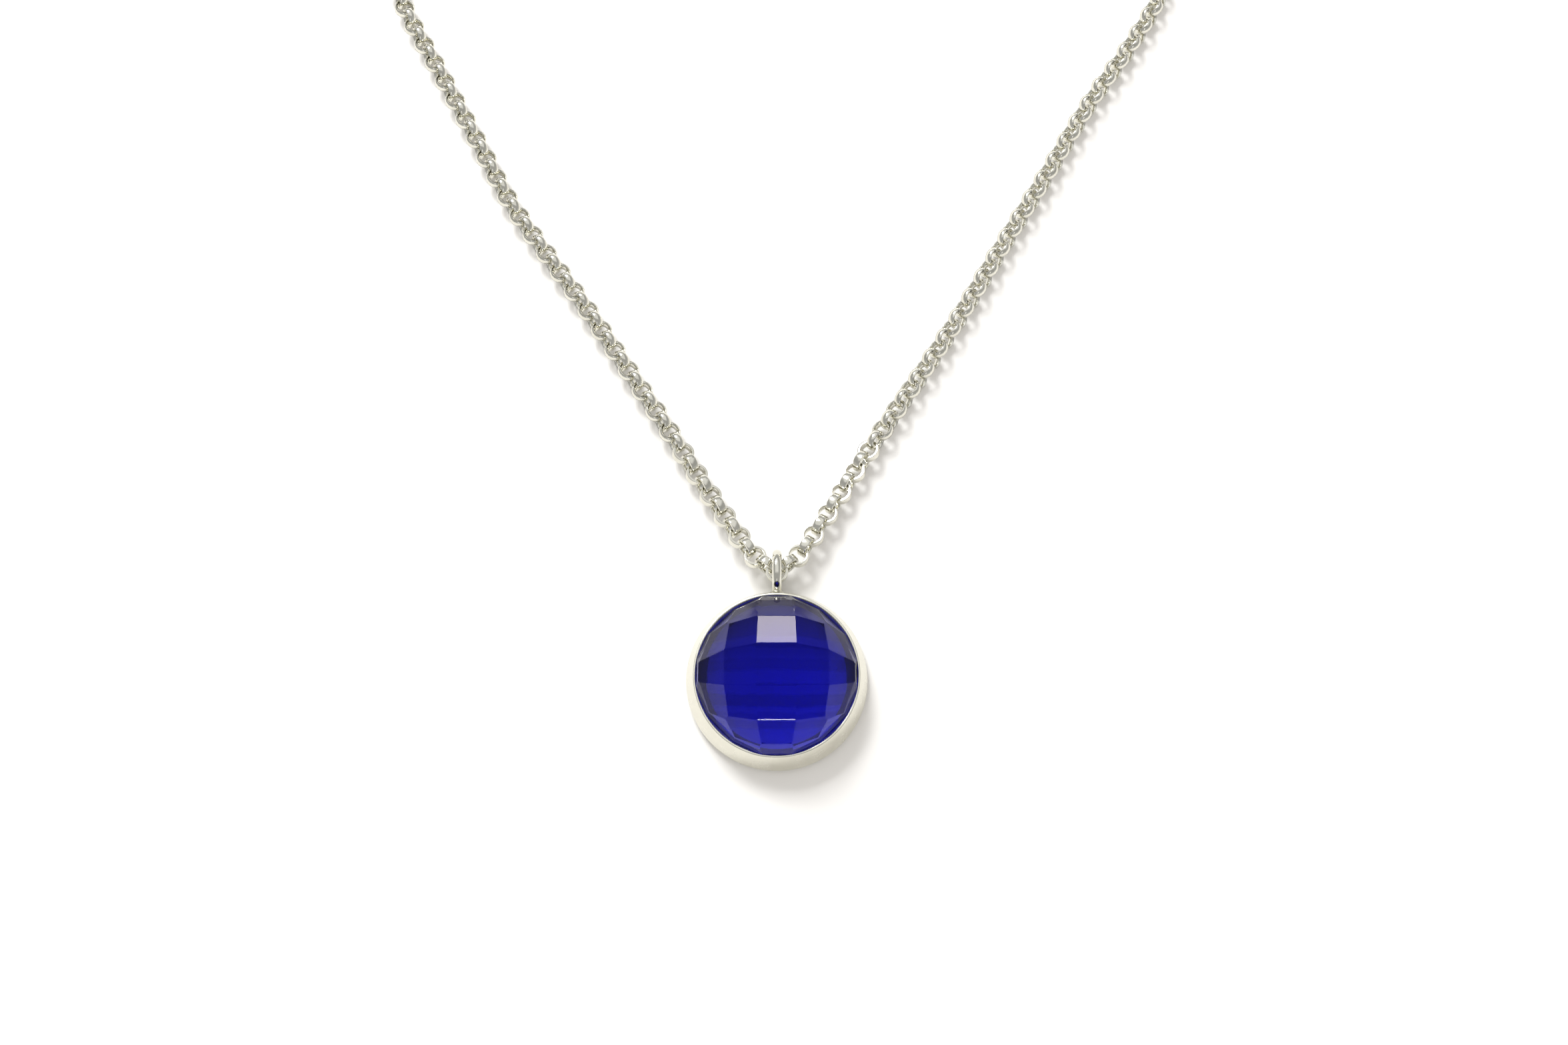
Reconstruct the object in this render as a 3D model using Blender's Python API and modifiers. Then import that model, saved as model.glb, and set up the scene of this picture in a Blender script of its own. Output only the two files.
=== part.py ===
# Pendant necklace: a round faceted stone in a tapered bezel cup, hung by a wire bail ring on a
# belcher (rolo) chain that ends in a lobster clasp and an end ring.
# The necklace lies on its back on a flat surface at z = 0, stone up, pendant towards -Y.
# Units: the constants below are millimetres; MM turns them into Blender's metres.
import math

import bmesh
import bpy
from mathutils import Matrix, Vector

MM = 0.001
MERGE = 1e-7  # metres, for every merging step

# Driving sizes, millimetres
STONE_RADIUS = 7.0  # girdle of a 14 mm round stone
OUTLINE_INSET = 0.07  # from the girdle in to the facets' outline at the bezel's rim
STONE_GAP = 0.05  # stone to bezel

# The cut of the stone. Each tier of facets has a tilt from flat, the directions it faces and its
# reach. A crown facet's reach is the height where its plane meets the stone's axis, and a rim
# facet's is its distance from the axis at the rim. Both are in outline radii, from the rim's level.
TABLE_HEIGHT = 0.57
CROWN_TIERS = [
    (22.8, (0.0, 180.0), 0.675),  # sides of the middle row
    (23.4, (90.0, 270.0), 0.685),  # ends of the middle column
    (32.8, (44.4, 135.6, 224.4, 315.6), 0.802),
    (42.0, (0.0, 180.0), 0.981),
    (42.6, (90.0, 270.0), 0.998),
    (49.6, (27.0, 153.0, 207.0, 333.0), 1.192),
    (49.8, (60.8, 119.2, 240.8, 299.2), 1.205),
]
RIM_TIERS = [
    (75.0, (0.0, 180.0), 0.999),
    (63.5, (23.8, 156.2, 203.8, 336.2), 0.986),
    (66.7, (45.0, 135.0, 225.0, 315.0), 0.962),
    (67.0, (64.5, 115.5, 244.5, 295.5), 0.978),
    (60.0, (90.0, 270.0), 0.998),
]

BEZEL_FLARE = 1.0  # from the stone's girdle out to the bezel's widest radius
BEZEL_HEIGHT = 3.3
BEZEL_LIP = 0.15  # wall thickness at the rim
BACK_FLAT = 0.35  # how far the flat back stands in from the widest radius
BACK_ROUND = 0.06  # and how far the edge between them has come in at BACK_ROUND_HEIGHT
BACK_ROUND_HEIGHT = 0.2
WIDEST_HEIGHT = 0.6
LEDGE_WIDTH = 1.15  # seat under the stone
LEDGE_HEIGHT = 1.0
TURNED_SIDES = 72

BAIL_ROOM = 0.23  # bail ring's hole over the chain links' radius
BAIL_WIRE = 0.82
BAIL_SUNK = 0.26  # how far the ring is let into the bezel wall
BAIL_FLOOR_GAP = 0.05
SOLDER_GAP = 0.03

LINK_DIAMETER = 2.0
LINK_WALL = 0.28
LINK_WIDTH = 0.72
LINK_PLAY = 0.034  # slack between the links at full stretch
CHAIN_FLOOR_GAP = 0.07
CENTRE_LINK_DROP = 0.08  # the centre link's level below the bail ring's centre
CENTRE_LINK_GAP = 0.036  # its far corner to the bail ring's hole
SINGLE_LINKS = 12  # links made one by one on each side of the bail
RUN_GAP = 0.3  # single link to the plain run
RUN_POINTS = 37
SPAN_POINTS = 24  # smooth points between two of a route's own

RING_DIAMETER = 3.0  # clasp jump ring and end ring
RING_WIRE = 0.5
RING_GAP = 0.04  # to the corners of the last link and of the clasp's eye

CLASP_LENGTH = 9.0  # eye centre to the end of the claw
CLAW_LENGTH = 7.92  # the claw's oval body
CLAW_WIDTH = 4.4
CLAW_THICKNESS = 2.0
HOOK_LENGTH = 3.96  # the oval opening in the claw
HOOK_WIDTH = 2.2
HOOK_END = 1.04  # metal left beyond the opening
HOOK_OFFSET = 0.05  # the opening's centre to the spine's side
GATE_LENGTH = 2.65  # how much of the claw's side the lever closes
GATE_INSIDE = 0.45  # from the centre line out to the gate's inner side
GATE_TO_HOOK_END = 0.83  # metal hooked over, from the opening's far end to the gate
EYE_RADIUS = 0.85
EYE_WALL = 0.45
EYE_THICKNESS = 0.9
NECK_WIDTH = 1.6
NECK_SUNK = 0.94  # the neck's overlap with the claw
SLOT_FROM_END = 0.87  # claw's near end to the slot that the lever turns in
SLOT_TO_GATE = 0.3
SLOT_ROOM = 0.25  # slot over the lever on each side
PIN_FROM_END = 2.025  # claw's near end to the pin
PIN_OFFSET = 0.55  # pin to the claw's centre line
PIN_RADIUS = 0.25
PIN_GAP = 0.03
PIN_SUNK = 0.05  # pin's ends below the claw's faces
LEVER_THICKNESS = 0.5
LEVER_GAP = 0.06
NUB_PROUD = 0.9  # thumb nub beyond the claw's side
NUB_WIDTH = 0.6
SPRING_WIRE = 0.09
SPRING_GAP = 0.025
SPRING_TURNS = 3

# Places worked out from the sizes
OUTLINE_RADIUS = STONE_RADIUS - OUTLINE_INSET
STONE_BORE = STONE_RADIUS + STONE_GAP
RIM_RADIUS = STONE_BORE + BEZEL_LIP
BEZEL_RADIUS = STONE_RADIUS + BEZEL_FLARE
LINK_RADIUS = LINK_DIAMETER / 2
LINK_HOLE = LINK_RADIUS - LINK_WALL
LINK_PITCH = 2 * math.sqrt(LINK_HOLE**2 - (LINK_WIDTH / 2) ** 2) - LINK_PLAY
CHAIN_HEIGHT = LINK_RADIUS + CHAIN_FLOOR_GAP
BAIL_HOLE = LINK_RADIUS + BAIL_ROOM
BAIL_RADIUS = BAIL_HOLE + BAIL_WIRE
BAIL_Z = BAIL_RADIUS + BAIL_FLOOR_GAP
WALL_SLOPE = (BEZEL_RADIUS - RIM_RADIUS) / (BEZEL_HEIGHT - WIDEST_HEIGHT)
BAIL_Y = BEZEL_RADIUS - WALL_SLOPE * (BAIL_Z - WIDEST_HEIGHT) - BAIL_SUNK + BAIL_RADIUS
# The frame's origin stands under the middle of the pendant with its bail.
BEZEL_Y = -(BAIL_Y + BAIL_RADIUS - BEZEL_RADIUS) / 2
BAIL_CENTRE = (0.0, BEZEL_Y + BAIL_Y, BAIL_Z)
# The centre link lies flat in the bail ring's hole, against the side away from the stone.
LINK_CORNER_RISE = CENTRE_LINK_DROP + LINK_WIDTH / 2
LINK_SHIFT = math.sqrt((BAIL_HOLE - CENTRE_LINK_GAP) ** 2 - LINK_CORNER_RISE**2) - LINK_RADIUS
CENTRE_LINK = (0.0, BAIL_CENTRE[1] + LINK_SHIFT, BAIL_Z - CENTRE_LINK_DROP)
RING_MIDDLE = (RING_DIAMETER - RING_WIRE) / 2
RING_HOLE = RING_MIDDLE - RING_WIRE / 2

# Each half of the chain from the centre link to its last link: x and y from the centre link, and
# the rise off the surface as a share of the centre link's own rise.
RIGHT_ROUTE = [
    (0.0, 0.0, 1.0),
    (1.95, 1.6, 0.72),
    (3.75, 4.35, 0.3),
    (7.15, 9.85, 0.0),
    (11.2, 16.05, 0.0),
    (15.3, 22.3, 0.0),
    (18.4, 27.3, 0.0),
    (21.6, 32.8, 0.0),
    (25.7, 39.6, 0.0),
    (30.8, 48.3, 0.0),
    (35.15, 54.75, 0.0),
    (38.45, 60.55, 0.0),
    (40.0, 67.0, 0.0),
    (40.3, 78.0, 0.0),
    (40.2, 91.3, 0.0),
    (40.3, 104.6, 0.0),
    (39.4, 117.9, 0.0),
    (36.2, 129.4, 0.0),
    (29.5, 137.6, 0.0),
    (20.0, 138.6, 0.0),
    (12.9, 134.0, 0.0),
    (8.6, 125.4, 0.0),
    (5.4, 116.2, 0.05),
    (3.0, 109.0, 0.45),
]
LEFT_ROUTE = [
    (0.0, 0.0, 1.0),
    (-1.95, 1.45, 0.72),
    (-3.8, 4.0, 0.3),
    (-6.6, 8.3, 0.0),
    (-10.3, 14.25, 0.0),
    (-14.1, 20.05, 0.0),
    (-18.0, 26.0, 0.0),
    (-21.95, 31.6, 0.0),
    (-25.7, 37.1, 0.0),
    (-29.5, 44.2, 0.0),
    (-33.75, 52.1, 0.0),
    (-38.05, 60.3, 0.0),
    (-39.9, 67.5, 0.0),
    (-40.4, 78.0, 0.0),
    (-40.2, 91.3, 0.0),
    (-40.3, 104.6, 0.0),
    (-39.6, 117.9, 0.0),
    (-36.8, 129.4, 0.0),
    (-30.5, 137.4, 0.0),
    (-21.2, 138.5, 0.0),
    (-14.4, 133.6, 0.0),
    (-11.0, 125.2, 0.05),
    (-8.9, 118.4, 0.45),
]


def material(name, colour, roughness, metallic):
    made = bpy.data.materials.new(name)
    made.use_nodes = True
    shader = made.node_tree.nodes["Principled BSDF"]
    shader.inputs["Base Color"].default_value = (*colour, 1.0)
    shader.inputs["Roughness"].default_value = roughness
    shader.inputs["Metallic"].default_value = metallic
    return made


def collection(name):
    made = bpy.data.collections.new(name)
    bpy.context.scene.collection.children.link(made)
    return made


def add(name, mesh, look, group=None, parent=None, place=Matrix.Identity(4)):
    """A new object for a mesh, in the necklace's collection, placed in the world by a matrix in metres."""
    made = bpy.data.objects.new(name, mesh)
    (group or NECKLACE).objects.link(made)
    if look is not None and not mesh.materials:
        mesh.materials.append(look)
    made.matrix_world = place
    if parent is not None:
        made.parent = parent
        made.matrix_parent_inverse = parent.matrix_world.inverted()
    return made


def pivot(name, place, parent=None):
    """An empty on a joint's axis, for the pieces that move with it."""
    made = bpy.data.objects.new(name, None)
    NECKLACE.objects.link(made)
    made.matrix_world = Matrix.Translation(Vector(place) * MM)
    if parent is not None:
        made.parent = parent
        made.matrix_parent_inverse = parent.matrix_world.inverted()
    bpy.context.view_layer.update()
    return made


def baked(source, name):
    """The evaluated mesh of an object as a mesh of its own; the object is removed."""
    bpy.context.view_layer.update()
    graph = bpy.context.evaluated_depsgraph_get()
    mesh = bpy.data.meshes.new_from_object(source.evaluated_get(graph))
    mesh.name = name
    bm = bmesh.new()
    bm.from_mesh(mesh)
    bmesh.ops.remove_doubles(bm, verts=bm.verts, dist=MERGE)
    bmesh.ops.recalc_face_normals(bm, faces=bm.faces)
    bm.to_mesh(mesh)
    bm.free()
    bpy.data.objects.remove(source)
    return mesh


def smooth(mesh, angle=40.0):
    mesh.shade_smooth()
    mesh.set_sharp_from_angle(angle=math.radians(angle))
    return mesh


def turned(name, profile, steps):
    """A closed profile of (radius, height) points in millimetres, turned about Z by a Screw modifier."""
    mesh = bpy.data.meshes.new(name)
    points = [(r * MM, 0.0, z * MM) for r, z in profile]
    edges = [(i, (i + 1) % len(points)) for i in range(len(points))]
    mesh.from_pydata(points, edges, [])
    thing = add(name + "_profile", mesh, None)
    screw = thing.modifiers.new("Turn", "SCREW")
    screw.steps = steps
    screw.render_steps = steps
    screw.use_merge_vertices = True
    screw.merge_threshold = MERGE
    return baked(thing, name)


def wire(name, points, radius, closed=False, resolution=2):
    """A tube of one radius in millimetres along a POLY spline."""
    curve = bpy.data.curves.new(name, "CURVE")
    curve.dimensions = "3D"
    curve.bevel_depth = radius * MM
    curve.bevel_resolution = resolution
    curve.use_fill_caps = not closed
    spline = curve.splines.new("POLY")
    spline.points.add(len(points) - 1)
    for point, co in zip(spline.points, points):
        point.co = (*(Vector(co) * MM), 1.0)
    spline.use_cyclic_u = closed
    return curve


def plate(name, outline, thickness, height):
    """A flat outline in millimetres, filled and extruded to a thickness about a height."""
    curve = bpy.data.curves.new(name, "CURVE")
    curve.dimensions = "2D"
    curve.fill_mode = "BOTH"
    curve.extrude = thickness / 2 * MM
    spline = curve.splines.new("POLY")
    spline.points.add(len(outline) - 1)
    for point, (x, y) in zip(spline.points, outline):
        point.co = (x * MM, y * MM, 0.0, 1.0)
    spline.use_cyclic_u = True
    thing = add(name + "_outline", curve, None)
    thing.location.z = height * MM
    mesh = baked(thing, name)
    mesh.transform(Matrix.Translation((0, 0, height * MM)))
    return mesh


def block(name, low, high):
    """A box between two corners in millimetres."""
    mesh = bpy.data.meshes.new(name)
    bm = bmesh.new()
    bmesh.ops.create_cube(bm, size=1.0)
    size = [(b - a) * MM for a, b in zip(low, high)]
    middle = [(a + b) / 2 * MM for a, b in zip(low, high)]
    bmesh.ops.scale(bm, vec=size, verts=bm.verts)
    bmesh.ops.translate(bm, vec=middle, verts=bm.verts)
    bm.to_mesh(mesh)
    bm.free()
    return mesh


def cylinder(name, radius, low, high, centre=(0.0, 0.0), sides=24):
    """An upright cylinder between two heights, in millimetres."""
    mesh = bpy.data.meshes.new(name)
    bm = bmesh.new()
    bmesh.ops.create_cone(
        bm, cap_ends=True, segments=sides, radius1=radius * MM, radius2=radius * MM, depth=(high - low) * MM
    )
    middle = Vector((*centre, (low + high) / 2)) * MM
    bmesh.ops.translate(bm, vec=middle, verts=bm.verts)
    bm.to_mesh(mesh)
    bm.free()
    return mesh


def cut(thing, cutter_mesh, operation="DIFFERENCE"):
    """An exact Boolean against a hidden cutter that keeps the world's frame."""
    cutter = add(cutter_mesh.name + "_cutter", cutter_mesh, None, group=CUTTERS)
    cutter.hide_render = True
    cutter.display_type = "WIRE"
    boolean = thing.modifiers.new(cutter.name, "BOOLEAN")
    boolean.operation = operation
    boolean.solver = "EXACT"
    boolean.object = cutter
    return thing


def bezel_profile():
    ledge = STONE_BORE - LEDGE_WIDTH
    return [
        (STONE_BORE, BEZEL_HEIGHT),
        (RIM_RADIUS, BEZEL_HEIGHT),
        (BEZEL_RADIUS, WIDEST_HEIGHT),
        (BEZEL_RADIUS - BACK_ROUND, BACK_ROUND_HEIGHT),
        (BEZEL_RADIUS - BACK_FLAT, 0.0),
        (ledge, 0.0),
        (ledge, LEDGE_HEIGHT),
        (STONE_BORE, LEDGE_HEIGHT),
    ]


def facet_planes():
    """Point and outward normal of each facet above the table's cut, in millimetres."""
    rim = Vector((0, 0, BEZEL_HEIGHT))
    planes = []
    for tiers, on_axis in ((CROWN_TIERS, True), (RIM_TIERS, False)):
        for tilt, directions, reach in tiers:
            lean = math.radians(tilt)
            for direction in directions:
                turn = math.radians(direction)
                flat = Vector((math.cos(turn), math.sin(turn), 0.0))
                up = Vector((0, 0, 1))
                point = rim + (up if on_axis else flat) * reach * OUTLINE_RADIUS
                planes.append((point, flat * math.sin(lean) + up * math.cos(lean)))
    return planes


def stone_mesh():
    """A round blank cut by each facet's plane in turn."""
    low = LEDGE_HEIGHT + STONE_GAP
    high = BEZEL_HEIGHT + TABLE_HEIGHT * OUTLINE_RADIUS
    mesh = cylinder("stone", STONE_RADIUS, low, high, sides=64)
    bm = bmesh.new()
    bm.from_mesh(mesh)
    for point, normal in facet_planes():
        geometry = bm.verts[:] + bm.edges[:] + bm.faces[:]
        made = bmesh.ops.bisect_plane(
            bm, geom=geometry, dist=MERGE, plane_co=point * MM, plane_no=normal, clear_outer=True
        )
        edges = [e for e in made["geom_cut"] if isinstance(e, bmesh.types.BMEdge)]
        if edges:
            bmesh.ops.holes_fill(bm, edges=[e for e in edges if e.is_boundary], sides=0)
    bmesh.ops.remove_doubles(bm, verts=bm.verts, dist=MERGE)
    bmesh.ops.recalc_face_normals(bm, faces=bm.faces)
    bm.to_mesh(mesh)
    bm.free()
    mesh.transform(Matrix.Translation((0, BEZEL_Y * MM, 0)))
    return mesh


def ring_points(radius, count):
    """A circle in the XY plane."""
    turn = [2 * math.pi * i / count for i in range(count)]
    return [(radius * math.cos(a), radius * math.sin(a), 0.0) for a in turn]


def make_pendant(parent):
    bezel = turned("bezel_cup", bezel_profile(), TURNED_SIDES)
    bezel.transform(Matrix.Translation((0, BEZEL_Y * MM, 0)))
    add("bezel_cup", smooth(bezel, 30), SILVER, parent=parent)
    add("stone", stone_mesh(), SAPPHIRE, parent=parent)
    middle = (BAIL_RADIUS + BAIL_HOLE) / 2
    curve = wire("bail", ring_points(middle, 40), BAIL_WIRE / 2, closed=True, resolution=4)
    mesh = baked(add("bail_wire", curve, None), "bail_ring")
    upright = Matrix.Translation(Vector(BAIL_CENTRE) * MM) @ Matrix.Rotation(math.radians(90), 4, "Y")
    mesh.transform(upright)
    bail = add("bail_ring", smooth(mesh), SILVER, parent=parent)
    # The ring is filed to the bezel's tapered wall where it is soldered on.
    low, high = BEZEL_RADIUS + SOLDER_GAP, RIM_RADIUS + SOLDER_GAP
    core = BEZEL_RADIUS / 2
    under = -1.0
    profile = [(core, BEZEL_HEIGHT), (high, BEZEL_HEIGHT), (low, WIDEST_HEIGHT), (low, under), (core, under)]
    seat = turned("bail_seat", profile, TURNED_SIDES)
    seat.transform(Matrix.Translation((0, BEZEL_Y * MM, 0)))
    cut(bail, seat)


def smooth_route(points):
    """Close points on a centripetal Catmull-Rom curve through a route's points, in millimetres."""
    points = [Vector(p) for p in points]
    points = [points[0] * 2 - points[1], *points, points[-1] * 2 - points[-2]]
    fine = []
    for p0, p1, p2, p3 in zip(points, points[1:], points[2:], points[3:]):
        t0 = 0.0
        t1 = t0 + (p1 - p0).length ** 0.5
        t2 = t1 + (p2 - p1).length ** 0.5
        t3 = t2 + (p3 - p2).length ** 0.5
        for k in range(SPAN_POINTS):
            t = t1 + (t2 - t1) * k / SPAN_POINTS
            a1 = p0 * ((t1 - t) / (t1 - t0)) + p1 * ((t - t0) / (t1 - t0))
            a2 = p1 * ((t2 - t) / (t2 - t1)) + p2 * ((t - t1) / (t2 - t1))
            a3 = p2 * ((t3 - t) / (t3 - t2)) + p3 * ((t - t2) / (t3 - t2))
            b1 = a1 * ((t2 - t) / (t2 - t0)) + a2 * ((t - t0) / (t2 - t0))
            b2 = a2 * ((t3 - t) / (t3 - t1)) + a3 * ((t - t1) / (t3 - t1))
            fine.append(b1 * ((t2 - t) / (t2 - t1)) + b2 * ((t - t1) / (t2 - t1)))
    fine.append(points[-2])
    return fine


def stations(route, pitch):
    """Places a straight pitch apart along a fine line, as links hang in each other, with the last place."""
    places = [route[0]]
    for here, there in zip(route, route[1:]):
        while (there - places[-1]).length >= pitch:
            low, high = 0.0, 1.0
            for _ in range(30):
                middle = (low + high) / 2
                if (here.lerp(there, middle) - places[-1]).length < pitch:
                    low = middle
                else:
                    high = middle
            places.append(here.lerp(there, high))
    return places


def placed_route(route):
    """A half's route from the centre link's place in the frame."""
    x, y, z = CENTRE_LINK
    rise = z - CHAIN_HEIGHT
    return [(x + p[0], y + p[1], CHAIN_HEIGHT + rise * p[2]) for p in route]


def link_matrix(place, ahead, roll):
    """A link's ring lies in its local XY plane, with the chain's direction along X, rolled about it."""
    along = Vector(ahead).normalized()
    side = Vector((0, 0, 1)).cross(along).normalized()
    up = along.cross(side)
    turn = Matrix((along, side, up)).transposed().to_4x4()
    return Matrix.Translation(Vector(place) * MM) @ turn @ Matrix.Rotation(math.radians(roll), 4, "X")


def link_mesh():
    half = LINK_WIDTH / 2
    profile = [(LINK_HOLE, half), (LINK_RADIUS, half), (LINK_RADIUS, -half), (LINK_HOLE, -half)]
    return smooth(turned("chain_link", profile, 20))


def make_half(side, route, mesh):
    """One half of the chain: single links by the bail, a plain run, and the last link. Returns its end."""
    fine = smooth_route(placed_route(route))
    places = stations(fine, LINK_PITCH)
    count = len(places)
    for k in range(1, SINGLE_LINKS + 1):
        ahead = places[k + 1] - places[k - 1]
        roll = 90.0 if k % 2 else 0.0
        add(f"chain_link_{side}_{k:02d}", mesh, SILVER, place=link_matrix(places[k], ahead, roll))
    # The last link lies flat, so it is an even one.
    last = count - 1 if (count - 1) % 2 == 0 else count - 2
    ahead = places[last] - places[last - 1]
    add(f"chain_link_{side}_end", mesh, SILVER, place=link_matrix(places[last], ahead, 0.0))
    start = SINGLE_LINKS * LINK_PITCH + LINK_RADIUS + RUN_GAP
    stop = last * LINK_PITCH - LINK_RADIUS - RUN_GAP
    run = []
    for k in range(RUN_POINTS):
        s = (start + (stop - start) * k / (RUN_POINTS - 1)) / LINK_PITCH
        run.append(places[int(s)].lerp(places[int(s) + 1], s - int(s)))
    add(f"chain_run_{side}", wire(f"chain_run_{side}", run, LINK_RADIUS), SILVER)
    return places[last], ahead.normalized()


def hang(hole, half_width):
    """From a ring's centre to the centre of a flat eye or link whose wall it holds by the corners."""
    return hole + math.sqrt((RING_HOLE - RING_GAP) ** 2 - half_width**2)


def end_ring(name, last, ahead):
    """A wire ring, upright in the plane along the chain, through the last link, with its centre and pivot."""
    reach = hang(LINK_HOLE, LINK_WIDTH / 2)
    centre = Vector(last) + ahead * reach
    curve = wire(name, ring_points(RING_MIDDLE, 28), RING_WIRE / 2, closed=True)
    mesh = baked(add(name + "_wire", curve, None), name)
    hinge = pivot(name + "_pivot", Vector(last) + ahead * (reach - RING_MIDDLE))
    add(name, smooth(mesh), SILVER, parent=hinge, place=link_matrix(centre, ahead, 90.0))
    return centre, hinge


def oval(x, y, length, width, count):
    """Points round an ellipse, in millimetres."""
    turn = [2 * math.pi * i / count for i in range(count)]
    return [(x + length / 2 * math.cos(a), y + width / 2 * math.sin(a)) for a in turn]


# The clasp's own frame: eye at the origin, claw towards +X, gate on the -Y side.
CLAW_START = CLASP_LENGTH - CLAW_LENGTH
PIN_AT = (CLAW_START + PIN_FROM_END, -PIN_OFFSET)
SLOT_HALF = LEVER_THICKNESS / 2 + SLOT_ROOM
HOOK_TIP = CLASP_LENGTH - HOOK_END
GATE_TIP = HOOK_TIP - GATE_TO_HOOK_END
GATE_HEEL = GATE_TIP - GATE_LENGTH


def clasp_body():
    """The claw's oval and the eye's lug, joined by a neck, then hollowed, opened, slotted and drilled."""
    half = CLAW_THICKNESS / 2
    through = half + 0.5
    eye_half = EYE_THICKNESS / 2
    claw = oval(CLASP_LENGTH - CLAW_LENGTH / 2, 0.0, CLAW_LENGTH, CLAW_WIDTH, 36)
    thing = add("clasp_blank", plate("clasp_blank", claw, CLAW_THICKNESS, 0.0), SILVER)
    neck_low = (EYE_RADIUS * 0.7, -NECK_WIDTH / 2, -eye_half)  # inside the eye, which the bore opens
    neck_high = (CLAW_START + NECK_SUNK, NECK_WIDTH / 2, eye_half)
    hollow = oval(HOOK_TIP - HOOK_LENGTH / 2, HOOK_OFFSET, HOOK_LENGTH, HOOK_WIDTH, 24)
    gate_low, gate_high = (GATE_HEEL, -CLAW_WIDTH, -through), (GATE_TIP, -GATE_INSIDE, through)
    slot_low = (CLAW_START + SLOT_FROM_END, -CLAW_WIDTH, -SLOT_HALF)
    slot_high = (GATE_HEEL + SLOT_TO_GATE, CLAW_WIDTH, SLOT_HALF)
    cut(thing, cylinder("clasp_lug", EYE_RADIUS + EYE_WALL, -eye_half, eye_half), "UNION")
    cut(thing, block("clasp_neck", neck_low, neck_high), "UNION")
    cut(thing, cylinder("clasp_bore", EYE_RADIUS, -through, through))
    cut(thing, plate("clasp_hollow", hollow, 2 * through, 0.0))
    cut(thing, block("clasp_gate", gate_low, gate_high))
    cut(thing, block("clasp_slot", slot_low, slot_high))
    cut(thing, cylinder("clasp_hole", PIN_RADIUS + PIN_GAP, -through, through, PIN_AT, 16))
    return smooth(baked(thing, "clasp_body"), 30)


def clasp_lever():
    """A bar that closes the gate, a nub for the thumb and a heel behind the pin, drilled for the pin."""
    x, y = PIN_AT
    tip = GATE_TIP - LEVER_GAP
    bar = [
        (x + 0.3, y - 0.75),
        (tip - 0.9, y - 1.1),
        (tip, y - 0.75),
        (tip, y - 0.2),
        (tip - 1.0, y - 0.4),
        (x + 0.8, y + 0.1),
    ]
    nub_top = CLAW_WIDTH / 2 + NUB_PROUD
    nub = [(x + 0.75, y + 1.6), (x + 0.1 + NUB_WIDTH, nub_top), (x + 0.1, nub_top), (x - 0.1, y + 1.5)]
    heel = [(x - 0.6, y + 0.1), (x - 0.55, y - 0.4), (x - 0.2, y - 0.7)]
    height = SLOT_HALF - LEVER_GAP - LEVER_THICKNESS / 2
    thing = add("lever_blank", plate("lever_blank", bar + nub + heel, LEVER_THICKNESS, height), SILVER)
    cut(thing, cylinder("lever_hole", PIN_RADIUS + PIN_GAP, -CLAW_THICKNESS, CLAW_THICKNESS, PIN_AT, 16))
    return smooth(baked(thing, "clasp_lever"), 30)


def clasp_spring():
    """A coil round the pin, under the lever, in the slot."""
    x, y = PIN_AT
    radius = PIN_RADIUS + PIN_GAP + SPRING_GAP + SPRING_WIRE / 2
    low = -SLOT_HALF + SPRING_GAP + SPRING_WIRE / 2
    room = 2 * SLOT_HALF - LEVER_GAP - LEVER_THICKNESS
    rise = (room - 2 * SPRING_GAP - SPRING_WIRE) / SPRING_TURNS
    sides = 12
    line = []
    for k in range(sides * SPRING_TURNS + 1):
        a = 2 * math.pi * k / sides
        line.append((x + radius * math.cos(a), y + radius * math.sin(a), low + rise * k / sides))
    coil = add("spring_wire", wire("clasp_spring", line, SPRING_WIRE / 2), None)
    return smooth(baked(coil, "clasp_spring"))


def make_clasp(ring_centre, ahead, parent):
    """A lobster clasp hung by its eye on the jump ring."""
    hinge = pivot("clasp_pivot", Vector(ring_centre) + ahead * RING_MIDDLE, parent)
    reach = hang(EYE_RADIUS, EYE_THICKNESS / 2)
    place = link_matrix(Vector(ring_centre) + ahead * reach, ahead, 0.0)
    add("clasp_body", clasp_body(), SILVER, parent=hinge, place=place)
    half = CLAW_THICKNESS / 2 - PIN_SUNK
    pin = cylinder("clasp_pin", PIN_RADIUS, -half, half, PIN_AT, 16)
    add("clasp_pin", smooth(pin), STEEL, parent=hinge, place=place)
    lever_pivot = pivot("clasp_lever_pivot", place @ (Vector((*PIN_AT, 0.0)) * MM) / MM, hinge)
    add("clasp_lever", clasp_lever(), SILVER, parent=lever_pivot, place=place)
    add("clasp_spring", clasp_spring(), STEEL, parent=hinge, place=place)


for old in list(bpy.data.objects):
    bpy.data.objects.remove(old)
NECKLACE = collection("pendant_necklace")
CUTTERS = collection("cutters")
SILVER = material("polished_silver", (0.78, 0.76, 0.70), 0.14, 1.0)
STEEL = material("spring_steel", (0.55, 0.55, 0.56), 0.3, 1.0)
SAPPHIRE = material("blue_stone", (0.012, 0.014, 0.3), 0.05, 0.0)

make_pendant(pivot("pendant_pivot", BAIL_CENTRE))
LINK = link_mesh()
add("chain_link_centre", LINK, SILVER, place=link_matrix(CENTRE_LINK, (1, 0, 0), 0.0))
right_end = make_half("right", RIGHT_ROUTE, LINK)
left_end = make_half("left", LEFT_ROUTE, LINK)
end_ring("chain_end_ring", *right_end)
ring_centre, ring_pivot = end_ring("clasp_jump_ring", *left_end)
make_clasp(ring_centre, left_end[1], ring_pivot)
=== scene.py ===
import math

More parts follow.
